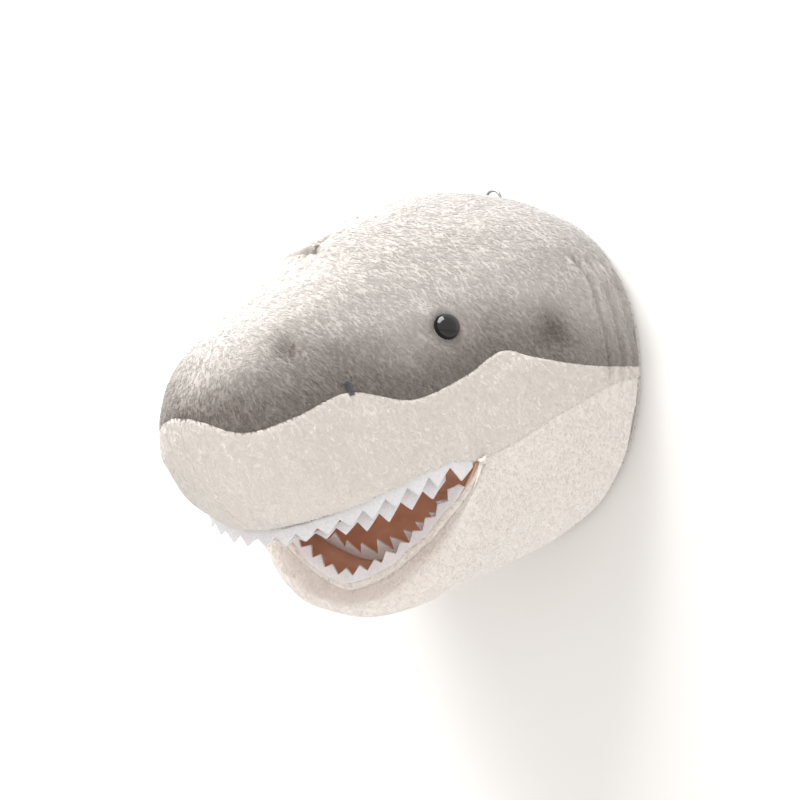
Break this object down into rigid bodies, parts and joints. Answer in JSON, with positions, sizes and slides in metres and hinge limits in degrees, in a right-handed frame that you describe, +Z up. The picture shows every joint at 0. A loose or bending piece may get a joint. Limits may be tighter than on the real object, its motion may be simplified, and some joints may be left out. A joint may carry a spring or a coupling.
{
  "type": "plush shark head",
  "caption": "Stuffed plush shark head for a wall, with a flat board back, hanging ring, glossy eyes, open lined mouth and felt zigzag teeth in two rows above and below.",
  "frame": {"origin": "centre of the flat back, in the plane that lies on the wall", "axes": "+Y out of the back into the wall, -Y towards the nose, +Z up, +X to the shark's left as it looks out"},
  "size_m": [0.274, 0.316, 0.3096],
  "materials": {
    "grey_plush": "short-pile plush, warm mid grey with paler fibre tips",
    "white_plush": "short-pile plush, warm cream white",
    "mouth_lining": "smooth brushed velour, terracotta",
    "tooth_felt": "thick white felt cut to a zigzag",
    "filling": "loose white polyester fibre",
    "eye_black": "polished black safety eye",
    "washer_plastic": "natural moulded locking washer",
    "thread": "dark grey embroidery thread",
    "plywood": "thin birch plywood",
    "back_felt": "pressed felt, light warm grey",
    "steel": "bright nickel-plated steel"
  },
  "bodies": {
    "head": {"crown_right": "grey_plush", "crown_left": "grey_plush", "cheek_right": "white_plush", "cheek_left": "white_plush", "throat_panel": "white_plush", "palate_lining": "mouth_lining", "upper_teeth_outer": "tooth_felt", "upper_teeth_inner": "tooth_felt", "neck_stuffing": "filling", "snout_stuffing": "filling", "eye_right": "eye_black", "eye_left": "eye_black", "eye_washer_right": "washer_plastic", "eye_washer_left": "washer_plastic", "nostril_right": "thread", "nostril_left": "thread", "forehead_tuft": "thread", "back_board": "plywood", "back_cover": "back_felt", "hanger_plate": "steel", "hanger_screw_1": "steel", "hanger_screw_2": "steel"},
    "jaw": {"chin_panel": "white_plush", "jaw_lining": "mouth_lining", "lower_teeth_outer": "tooth_felt", "lower_teeth_inner": "tooth_felt", "jaw_stuffing": "filling"},
    "ring": {"hanger_ring": "steel"}
  },
  "joints": [
    {"name": "jaw_flex", "type": "hinge", "parent": "head", "child": "jaw", "pos_m": [0, -0.1501, -0.05559], "axis": [1, 0, 0], "range_deg": [-5, 8], "stiffness_Nm_per_rad": 1.5, "deforming": ["throat_panel", "jaw_lining"]},
    {"name": "ring_swing", "type": "hinge", "parent": "head", "child": "ring", "pos_m": [0, -0.0034, 0.12604], "axis": [1, 0, 0], "range_deg": [-90, 45]}
  ]
}
